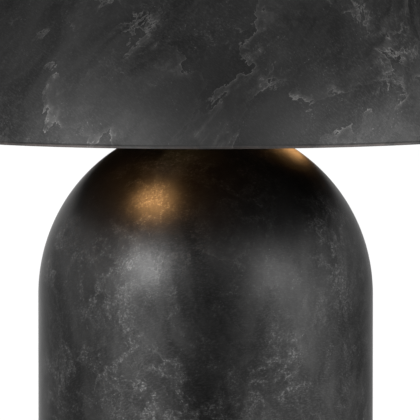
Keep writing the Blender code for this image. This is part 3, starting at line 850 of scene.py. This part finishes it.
def screw_mesh():
    """Slotted round-head screw, its head outermost along +Z."""
    start, head_low, head_high = CLUSTER_R - 0.0058, CLUSTER_R + 0.0004, CLUSTER_R + 0.0021
    edge = 0.0002
    outline = [(0.0, start), (SCREW_R - 0.0003, start)]
    outline += threaded_rows(SCREW_R, start + 0.0004, head_low - 0.0004, SCREW_PITCH)
    outline += [(SCREW_R, head_low), (SCREW_HEAD_R - edge, head_low), (SCREW_HEAD_R, head_low + edge)]
    shoulder = (SCREW_HEAD_R, head_low + 0.0006)
    outline += curved(shoulder, (SCREW_HEAD_R - 0.0003, head_high), (0.0, head_high), 8)
    cut = thread(SCREW_R, 0.0002, start, head_low, SCREW_PITCH)
    bm = reshaped(turned(outline, TINY), cut)
    slot_half, slot_floor = 0.00038, head_high - 0.0009
    for vert in bm.verts:
        if abs(vert.co.y) < slot_half and vert.co.z > slot_floor:
            vert.co.z = slot_floor
    return bm


# Lampholders, switches and bulbs ------------------------------------------------------------------


def make_arm(side, holder):
    nipple = tube_outline(ARM_BORE_R, ARM_R, NIPPLE_START, NIPPLE_END)
    add_turned(f"arm_nipple_{side}", nipple, "brass", "stand", holder, steps=SMALL)
    nut_start = NIPPLE_START + 0.001
    nut = hex_nut(ARM_HOLE_R, ARM_NUT_CORNER_R, nut_start, nut_start + ARM_NUT_HEIGHT)
    add_piece(f"arm_nut_{side}", nut, "brass", "stand", holder)
    low, high = CLUSTER_R + GAP, CAP_INNER_END - GAP
    middle = (low + high) / 2
    groove_half, groove_depth = 0.0005, 0.0006
    collar = [
        (ARM_HOLE_R, low),
        (NECK_R, low),
        (NECK_R, middle - groove_half),
        (NECK_R - groove_depth, middle),
        (NECK_R, middle + groove_half),
        (NECK_R, high),
        (ARM_HOLE_R, high),
    ]
    add_turned(f"arm_collar_{side}", collar, "brass", "stand", holder, steps=SMALL)


def make_holder_cap(side, holder):
    """Spun cap with a rolled groove near its open end: the outside first, then back along the inside."""
    groove, groove_half, groove_depth = 0.0390, 0.0004, 0.0003
    inner_r = HOLDER_CAP_R - HOLDER_CAP_WALL
    inner_end = CAP_INNER_END + HOLDER_CAP_WALL
    cap = [
        (ARM_HOLE_R, CAP_INNER_END),
        (0.0095, CAP_INNER_END),
        (0.0145, 0.0266),
        (0.0172, 0.0300),
        (HOLDER_CAP_R, 0.0340),
        (HOLDER_CAP_R, groove - groove_half),
        (HOLDER_CAP_R - groove_depth, groove),
        (HOLDER_CAP_R, groove + groove_half),
        (HOLDER_CAP_R, HOLDER_CAP_END),
        (inner_r, HOLDER_CAP_END),
        (inner_r, 0.0342),
        (0.0165, 0.0306),
        (0.0141, 0.0274),
        (0.0093, inner_end),
        (ARM_HOLE_R, inner_end),
    ]
    add_turned(f"socket_cap_{side}", cap, "brass", "stand", holder, soft=0.0012)


def make_holder_shell(side, holder, slot):
    """Brass shell with two beads and a flared mouth, and the fibre sleeve inside it."""
    inner_r = SHELL_R - SHELL_WALL
    bead_rise, bead_half, flare = 0.0005, 0.0009, 0.0008
    shell = [(inner_r, SHELL_START), (SHELL_R, SHELL_START), (SHELL_R, 0.0555)]
    for bead in (0.0575, 0.0600):
        shell += arc((SHELL_R, bead), bead_rise, bead_half, -math.pi / 2, math.pi / 2, 6)
    shell += [
        (SHELL_R, 0.0620),
        (SHELL_R, SHELL_MOUTH - 0.0020),
        (SHELL_R + flare, SHELL_MOUTH - 0.0010),
        (SHELL_R + flare, SHELL_MOUTH),
        (inner_r + 0.0005, SHELL_MOUTH),
        (inner_r, SHELL_MOUTH - 0.0020),
    ]
    bm = drilled(turned(softened(shell, 0.0003), PLAIN), [slot])
    add_piece(f"socket_shell_{side}", bm, "brass", "stand", holder)
    sleeve_r = inner_r - GAP
    sleeve = tube_outline(sleeve_r - SLEEVE_WALL, sleeve_r, SHELL_START, SHELL_MOUTH - 0.0022)
    bm = drilled(turned(softened(sleeve, 0.0002), PLAIN), [slot])
    add_piece(f"socket_sleeve_{side}", bm, "fibre", "stand", holder)


def make_lampholder(side, holder):
    make_holder_cap(side, holder)
    near, far = (0.0050, 0.0, KNOB_AT), (0.0250, 0.0, KNOB_AT)
    make_holder_shell(side, holder, (SHELL_SLOT_R, near, far))
    switch_r = SHELL_R - SHELL_WALL - SLEEVE_WALL - 2 * GAP
    edge, recess = 0.0012, 0.0004
    switch = [
        (0.0, SWITCH_START),
        (switch_r - edge, SWITCH_START),
        (switch_r, SWITCH_START + edge),
        (switch_r, SWITCH_END),
        (SWITCH_RECESS_R, SWITCH_END),
        (SWITCH_RECESS_R, SWITCH_END - recess),
        (0.0, SWITCH_END - recess),
    ]
    bm = drilled(turned(softened(switch, 0.0003), PLAIN), [(STEM_HOLE_R, near, far)])
    add_piece(f"switch_body_{side}", bm, "phenolic", "stand", holder)
    make_screw_shell(side, holder, switch_r - GAP)
    low, high = SWITCH_END + GAP, BULB_TIP - GAP
    tab = [(0.0, low), (TAB_R, low), (TAB_R, low + 0.0004)]
    tab += [(0.0030, low + 0.0006), (0.0018, high), (0.0, high)]
    add_turned(f"contact_tab_{side}", tab, "brass", "stand", holder, steps=SMALL)


def make_screw_shell(side, holder, outer_r):
    """Thin brass shell, pressed into the thread that takes the bulb."""
    low, high = SWITCH_END + GAP, SCREW_SHELL_END
    mean_r = outer_r - SCREW_SHELL_WAVE
    outer = threaded_rows(mean_r + SCREW_SHELL_WALL / 2, low, high, BULB_PITCH)
    inner = [(mean_r - SCREW_SHELL_WALL / 2, height) for radius, height in reversed(outer)]

    def radius_at(angle, radius, height):
        fade = min(1.0, (height - low) / 0.001, (high - height) / 0.001)
        return radius - SCREW_SHELL_WAVE * fade * math.cos(math.tau * height / BULB_PITCH - angle)

    bm = reshaped(turned(outer + inner, PLAIN), radius_at)
    add_piece(f"screw_shell_{side}", bm, "brass", "stand", holder)


def make_switch(side, holder):
    """Spindle and fluted knob of the rotary switch, pointing sideways out of the lampholder."""
    place = holder @ Matrix.Translation((0.0, 0.0, KNOB_AT)) @ Matrix.Rotation(math.pi / 2, 4, "Y")
    stem = softened(solid_outline(STEM_R, STEM_START, STEM_END), 0.0003)
    add_piece(f"switch_stem_{side}", turned(stem, TINY), "brass", f"switch_{side}", place)
    grip_low, grip_length = KNOB_START + 0.0012, 0.0105
    knob = [(0.0, STEM_END + GAP), (STEM_HOLE_R, STEM_END + GAP), (STEM_HOLE_R, KNOB_START)]
    knob += [(KNOB_R - 0.0008, KNOB_START), (KNOB_R - 0.0002, KNOB_START + 0.0006)]
    knob += [(KNOB_R - KNOB_TAPER * i / 12, grip_low + grip_length * i / 12) for i in range(13)]
    knob += [(0.0042, KNOB_END - 0.0005), (0.0034, KNOB_END), (0.0, KNOB_END)]
    flute_low, flute_high, run_out = grip_low + 0.0002, KNOB_END - 0.0010, 0.0006

    def radius_at(angle, radius, height):
        if radius < 0.0044:
            return radius
        fade = min(1.0, max(0.0, (height - flute_low) / run_out), max(0.0, (flute_high - height) / run_out))
        return radius - 0.00035 * fade * (0.5 - 0.5 * math.cos(FLUTES * angle))

    bm = reshaped(turned(knob, 8 * FLUTES), radius_at)
    add_piece(f"switch_knob_{side}", bm, "phenolic", f"switch_{side}", place)


def make_bulb(side, holder):
    body = f"bulb_{side}"
    tip, corner_r = BULB_TIP, BULB_CONTACT_R
    contact_top = tip + 0.0016
    contact = [(0.0, tip)] + curved((0.0010, tip), (corner_r, tip), (corner_r, tip + 0.0010), 6)
    contact += [(corner_r, contact_top), (0.0, contact_top)]
    add_piece(f"bulb_contact_{side}", turned(contact, TINY), "zinc", body, holder)
    plug_low, plug_high = contact_top + GAP, tip + 0.0048
    plug = [
        (0.0, plug_low),
        (0.0052, plug_low),
        (BULB_PLUG_R, plug_high - 0.0010),
        (BULB_PLUG_R, plug_high),
        (0.0, plug_high),
    ]
    add_turned(f"bulb_insulator_{side}", plug, "phenolic", body, holder, steps=SMALL)
    base_end = tip + BULB_BASE_LENGTH
    make_bulb_base(side, body, holder, base_end)
    make_glass(side, body, holder, base_end)


def make_bulb_base(side, body, holder, base_end):
    """Threaded base: from the crimp round the insulator out to its rim, and back inside its thin wall."""
    tip = BULB_TIP
    crimp_r, crimp_at, inner_r = BULB_PLUG_R + GAP, tip + 0.0024, 0.0118
    thread_low, thread_high = tip + 0.0054, base_end - 0.0045
    base = [(crimp_r, crimp_at)]
    base += curved((crimp_r, crimp_at), (0.0126, tip + 0.0034), (0.0129, tip + 0.0048), 5)
    base += threaded_rows(BULB_BASE_R, thread_low, thread_high, BULB_PITCH)
    base += [
        (BULB_BASE_R, base_end - 0.0012),
        (BULB_BASE_R + 0.0001, base_end - 0.0006),
        (BULB_BASE_R, base_end),
        (0.0125, base_end),
        (0.0125, base_end - 0.0016),
        (inner_r, base_end - 0.0046),
        (inner_r, tip + 0.0062),
        (crimp_r, tip + 0.0034),
    ]
    cut = thread(BULB_BASE_R, 0.0009, thread_low, thread_high, BULB_PITCH)
    add_piece(f"bulb_base_{side}", reshaped(turned(base, PLAIN), cut), "zinc", body, holder)


def make_glass(side, body, holder, base_end):
    """Globe and neck: the outside from the crown down to the neck, then the inside back up."""
    shoulder = math.radians(-48.0)
    centre = (0.0, BULB_MIDDLE)
    outline = []
    for inset in (0.0, BULB_WALL):
        radius, neck_r = BULB_R - inset, BULB_NECK_R - inset
        globe = arc(centre, radius, radius, math.pi / 2, shoulder, 40)
        last = Vector(globe[-1])
        tangent = Vector((math.sin(shoulder), -math.cos(shoulder)))
        reach = (last.x - neck_r) / -tangent.x
        neck = curved(last, last + tangent * reach, (neck_r, base_end + 0.004), 16)[1:]
        skin = [(0.0, BULB_MIDDLE + radius)] + globe[1:] + neck + [(neck_r, base_end - 0.0010)]
        if inset:
            skin.reverse()
        outline += skin
    add_piece(f"bulb_glass_{side}", turned(outline, PLAIN), "opal_glass", body, holder)


def make_lampholders():
    for side, turn in (("a", CLUSTER_TURN), ("b", CLUSTER_TURN + math.pi)):
        facing = Matrix.Rotation(-turn, 4, "Z") @ Matrix.Rotation(math.pi / 2, 4, "X")
        holder = Matrix.Translation((0.0, 0.0, CLUSTER_Z)) @ facing
        make_arm(side, holder)
        make_lampholder(side, holder)
        make_switch(side, holder)
        make_bulb(side, holder)


# Shade, seat, rod and finial ----------------------------------------------------------------------


def make_shade():
    """Dome over a rolled rim, with a shallow groove where the two meet. Its inside is matt black."""
    flat = math.acos(SHADE_FLAT_R / SHADE_R)
    bead = SHADE_LIP / 2
    start = RIM_Z + SHADE_LIP
    rise = (SHADE_HIGH.z - start) / math.sin(flat)
    outside = arc((0.0, start), SHADE_R, rise, 0.0, flat, 96)
    inside = arc((0.0, start), SHADE_R - SHADE_WALL, rise - SHADE_WALL, flat, 0.0, 96)
    hole = [(ROD_HOLE_R, outside[-1][1]), (ROD_HOLE_R, inside[0][1])]
    roll_centre = (SHADE_HIGH.x - bead, RIM_Z + bead)
    roll = arc(roll_centre, bead, bead, math.radians(-200.0), math.radians(20.0), 20)
    groove_r = SHADE_R - 0.0003
    groove = [(groove_r, start - 0.0002), (groove_r, start + 0.0001)]
    bm = turned(outside + hole + inside + roll + groove, FINE)
    shell = add_piece("shade_shell", bm, "patina", "shade")
    shell.data.materials[0] = SHADE_PATINA
    shell.data.materials.append(SHADE_INSIDE)
    for face in shell.data.polygons:
        away = Vector((face.center.x, face.center.y, face.center.z - start))
        if away.dot(face.normal) < 0.0 and face.center.z > start:
            face.material_index = 1
    edge = 0.0005
    cap = [
        (ROD_HOLE_R, SHADE_CAP_LOW.z),
        (SHADE_CAP_HIGH.x, SHADE_CAP_LOW.z),
        (SHADE_CAP_HIGH.x - edge, SHADE_CAP_LOW.z + 2 * edge),
        (SHADE_CAP_CROWN_R, SHADE_CAP_HIGH.z),
        (ROD_HOLE_R, SHADE_CAP_HIGH.z),
    ]
    shade_cap = add_turned("shade_cap", cap, "patina", "shade", soft=0.0008, steps=144)
    shade_cap.data.materials[0] = SHADE_PATINA


def make_rod():
    """The rod, its collar and nuts, and the seat that the shade rests on."""
    seat = tube_outline(ROD_HOLE_R, SEAT_HIGH.x, SEAT_LOW.z, SEAT_HIGH.z)
    add_turned("shade_seat", seat, "brass", "stand", soft=0.0008)
    for node in ("seat_nut", "rod_locknut"):
        add_nut(node, ROD_HOLE_R, ROD_NUT_CORNER_R, "brass")
    collar_low, collar_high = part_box("rod_collar")
    collar = [
        (ROD_HOLE_R, collar_low.z),
        (ROD_COLLAR_R, collar_low.z),
        (ROD_COLLAR_R, collar_low.z + 0.0042),
        (ROD_COLLAR_TOP_R, collar_high.z),
        (ROD_HOLE_R, collar_high.z),
    ]
    add_turned("rod_collar", collar, "dark_brass", "stand", soft=0.0006)
    edge = 0.0004
    thread_low = SEAT_LOW.z - ROD_THREAD_BELOW_SEAT
    rod = [(0.0, ROD_LOW.z), (ROD_R - edge, ROD_LOW.z), (ROD_R, ROD_LOW.z + edge)]
    rod += threaded_rows(ROD_R, thread_low, ROD_HIGH.z - 0.0005, ROD_PITCH)
    rod += [(ROD_R - 0.0005, ROD_HIGH.z), (0.0, ROD_HIGH.z)]
    cut = thread(ROD_R, 0.0004, thread_low, ROD_HIGH.z + ROD_PITCH, ROD_PITCH)
    add_piece("shade_rod", reshaped(turned(rod, SMALL), cut), "dark_brass", "stand")


def make_finial():
    """Knob with a finely knurled band, screwed on the end of the rod."""
    height = FINIAL_HIGH.z - FINIAL_LOW.z
    band_r = FINIAL_HIGH.x
    shoulder_r = band_r - 0.0006
    edge_r = band_r - 0.0003
    outline = [(0.0, FINIAL_BORE_END), (ROD_HOLE_R, FINIAL_BORE_END), (ROD_HOLE_R, 0.0)]
    outline += [(FINIAL_FLANGE_R, 0.0), (FINIAL_FLANGE_R, 0.0016)]
    outline += [(FINIAL_GROOVE_R, 0.0034), (FINIAL_GROOVE_R, 0.0052)]
    outline += [(shoulder_r, KNURL_START - 0.0012), (edge_r, KNURL_START - 0.0006)]
    outline += [(band_r, KNURL_START + (KNURL_END - KNURL_START) * i / 24) for i in range(25)]
    outline += [(edge_r, KNURL_END + 0.0006)]
    outline += curved((shoulder_r, KNURL_END + 0.0012), (0.0084, height - 0.0002), (0.0, height), 14)

    def radius_at(angle, radius, at):
        if radius < band_r - 0.0001 or not KNURL_START <= at <= KNURL_END:
            return radius
        fade = min(1.0, (at - KNURL_START) / 0.0005, (KNURL_END - at) / 0.0005)
        twist = at * 900.0
        right = 0.5 - 0.5 * math.cos(KNURLS * angle + twist)
        left = 0.5 - 0.5 * math.cos(KNURLS * angle - twist)
        return radius - 0.0004 * fade * (1.0 - right * left)

    place = Matrix.Translation((0.0, 0.0, FINIAL_LOW.z))
    bm = reshaped(turned(outline, 8 * KNURLS), radius_at)
    finial = add_piece("finial", bm, "patina", "finial", place)
    finial.data.materials[0] = SHADE_PATINA


# Studio -------------------------------------------------------------------------------------------


def add_camera():
    data = bpy.data.cameras.new("camera")
    data.sensor_width = 36.0
    data.lens = CAMERA_LENS
    data.clip_end = 300.0
    camera = bpy.data.objects.new("camera", data)
    bpy.context.scene.collection.objects.link(camera)
    back = CAMERA_DISTANCE * math.cos(CAMERA_ABOVE)
    camera.location = (0.0, -back, RIM_Z + CAMERA_DISTANCE * math.sin(CAMERA_ABOVE))
    camera.rotation_euler = (CAMERA_TILT, 0.0, CAMERA_PAN)
    bpy.context.scene.camera = camera


def studio_glow(n, along):
    """Colour of the studio as gloss shows it, in the direction of a vector from the lamp."""
    parts = n.add("ShaderNodeSeparateXYZ", i0=along)
    azimuth = n.math("ARCTAN2", parts.outputs["X"], n.math("MULTIPLY", parts.outputs["Y"], -1.0))
    turn = n.math("ADD", n.math("MULTIPLY", azimuth, 1.0 / math.tau), 0.5)
    stops = [(0.5 + degrees / 360.0, glow / WALL_GLOW_MOST) for degrees, glow in WALL_GLOW]
    walls = n.profile(turn, *stops)
    walls.node.color_ramp.interpolation = "B_SPLINE"
    walls = n.math("MULTIPLY", walls, WALL_GLOW_MOST)
    return n.mix(n.ramp(parts.outputs["Z"], 0.15, 0.52), walls, grey(CEILING_GLOW))


def for_gloss(n, plain, mirrored):
    """One shader for reflections in gloss and another for everything else."""
    glossy = n.add("ShaderNodeLightPath").outputs["Is Glossy Ray"]
    return n.add("ShaderNodeMixShader", i0=glossy, i1=plain, i2=mirrored).outputs[0]


def add_floor():
    """A wide floor of pale paper. Gloss shows the studio's walls in its place."""
    bm = bmesh.new()
    bmesh.ops.create_circle(bm, cap_ends=True, radius=90.0, segments=96)
    mesh = bpy.data.meshes.new("floor")
    bm.to_mesh(mesh)
    bm.free()
    floor = bpy.data.objects.new("floor", mesh)
    bpy.context.scene.collection.objects.link(floor)
    n = Nodes("floor_paper")
    n.finish(Base_Color=grey(0.92), Roughness=0.9, Specular_IOR_Level=0.0)
    mirrored = n.add("ShaderNodeEmission", Color=studio_glow(n, n.where), Strength=0.9)
    either = for_gloss(n, n.shader.outputs[0], mirrored.outputs[0])
    n.feed(n.tree.nodes["Material Output"].inputs["Surface"], either)
    mesh.materials.append(n.material)


def add_world():
    """Even white for the eye and for matt things, and the studio's walls in gloss."""
    world = bpy.data.worlds.new("studio")
    bpy.context.scene.world = world
    world.use_nodes = True
    n = Nodes("studio", world.node_tree)
    along = n.add("ShaderNodeTexCoord").outputs["Generated"]
    mirrored = n.add("ShaderNodeBackground", Color=studio_glow(n, along))
    even = n.add("ShaderNodeBackground", Strength=ROOM_GLOW)
    either = for_gloss(n, even.outputs[0], mirrored.outputs[0])
    n.feed(n.tree.nodes["World Output"].inputs["Surface"], either)


def add_softbox(name, azimuth, elevation, size, radiance, lit):
    """A softbox that faces the lamp and lights one collection. Azimuth runs from the camera to the right."""
    data = bpy.data.lights.new(name, "AREA")
    data.shape = "RECTANGLE"
    data.size, data.size_y = size
    data.energy = radiance * math.pi * size[0] * size[1]
    light = bpy.data.objects.new(name, data)
    bpy.context.scene.collection.objects.link(light)
    a, e = math.radians(azimuth), math.radians(elevation)
    back = Vector((math.sin(a) * math.cos(e), -math.cos(a) * math.cos(e), math.sin(e)))
    light.location = Vector((0.0, 0.0, SOFTBOX_AIM)) + back * SOFTBOX_DISTANCE
    light.rotation_mode = "QUATERNION"
    light.rotation_quaternion = back.to_track_quat("Z", "Y")
    light.visible_camera = False
    light.light_linking.receiver_collection = lit


def add_lights():
    """Softboxes for the body and what stands on it. The shade and the pieces on top of it are flagged off."""
    lit = bpy.data.collections.new("below_the_shade")
    flagged_off = ("shade_shell_fine", "shade_cap_fine", "finial_fine")
    for piece in bpy.context.scene.objects:
        if piece.name.endswith("_fine") and piece.name not in flagged_off:
            lit.objects.link(piece)
    add_softbox("key", -40.5, 18.0, (0.75, 0.70), 20.0, lit)
    add_softbox("fill", 49.0, 13.0, (0.80, 0.55), 5.2, lit)


bpy.context.scene.view_settings.view_transform = "Standard"
bpy.context.scene.view_settings.look = "None"

add_camera()
add_floor()
add_world()

make_foot()
make_body()
make_inlet()
make_neck()
make_cluster()
make_lampholders()
make_shade()
make_rod()
make_finial()

add_lights()
